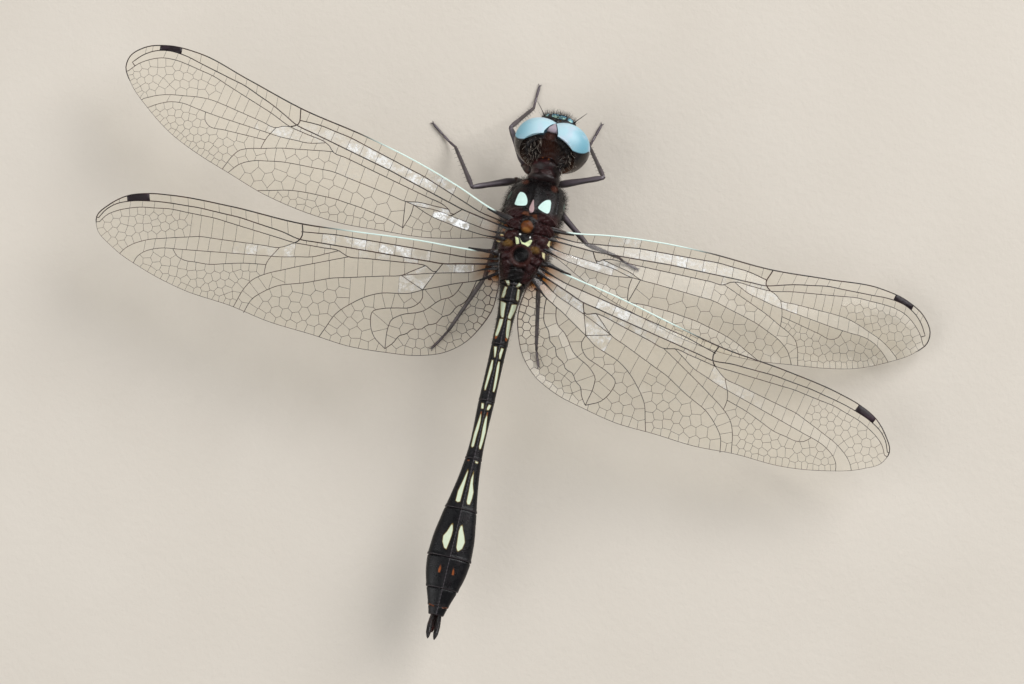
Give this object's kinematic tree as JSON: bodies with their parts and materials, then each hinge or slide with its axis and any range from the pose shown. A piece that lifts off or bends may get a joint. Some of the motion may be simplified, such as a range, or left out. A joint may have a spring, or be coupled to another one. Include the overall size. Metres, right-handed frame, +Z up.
{
  "type": "dragonfly",
  "caption": "Perched dragonfly model with sky-blue compound eyes, clear netted wings held out flat, a slim clubbed abdomen with pale marks and bristly grey legs.",
  "frame": {"origin": "on the floor, under the middle of the animal's floor plan", "axes": "head towards -Y, tail towards +Y, the animal's left wings towards +X, +Z up from the floor it stands on"},
  "size_m": [0.0643, 0.0438, 0.0084],
  "materials": {
    "shell_black": "satin black insect shell",
    "shell_brown": "dark brown insect shell",
    "eye": "smooth faceted eye, sky blue above and dark brown below",
    "frons": "metallic blue face plate",
    "leg": "satin grey-brown leg shell",
    "wing": "clear wing membrane with a faint amber tint"
  },
  "bodies": {
    "root": {"abdomen_01": "shell_black", "abdomen_02": "shell_black", "abdomen_03": "shell_black", "abdomen_04": "shell_black", "abdomen_05": "shell_black", "abdomen_06": "shell_black", "abdomen_07": "shell_black", "abdomen_08": "shell_black", "abdomen_09": "shell_black", "abdomen_10": "shell_black", "antenna_left": "shell_black", "antenna_right": "shell_black", "cercus_left": "shell_black", "cercus_right": "shell_black", "clypeus": "shell_brown", "coxa_fore_left": "shell_brown", "coxa_fore_right": "shell_brown", "coxa_hind_left": "shell_brown", "coxa_hind_right": "shell_brown", "coxa_mid_left": "shell_brown", "coxa_mid_right": "shell_brown", "epiproct": "shell_brown", "eye_left": "eye", "eye_right": "eye", "femur_fore_left": "leg", "femur_fore_right": "leg", "femur_hind_left": "leg", "femur_hind_right": "leg", "femur_mid_left": "leg", "femur_mid_right": "leg", "frons": "frons", "head": "shell_brown", "labium": "shell_brown", "labrum": "shell_black", "prothorax": "shell_brown", "tarsus_fore_left": "leg", "tarsus_fore_right": "leg", "tarsus_hind_left": "leg", "tarsus_hind_right": "leg", "tarsus_mid_left": "leg", "tarsus_mid_right": "leg", "thorax": "shell_black", "tibia_fore_left": "leg", "tibia_fore_right": "leg", "tibia_hind_left": "leg", "tibia_hind_right": "leg", "tibia_mid_left": "leg", "tibia_mid_right": "leg", "wing_fore_left": "wing", "wing_fore_right": "wing", "wing_hind_left": "wing", "wing_hind_right": "wing"}
  },
  "joints": []
}
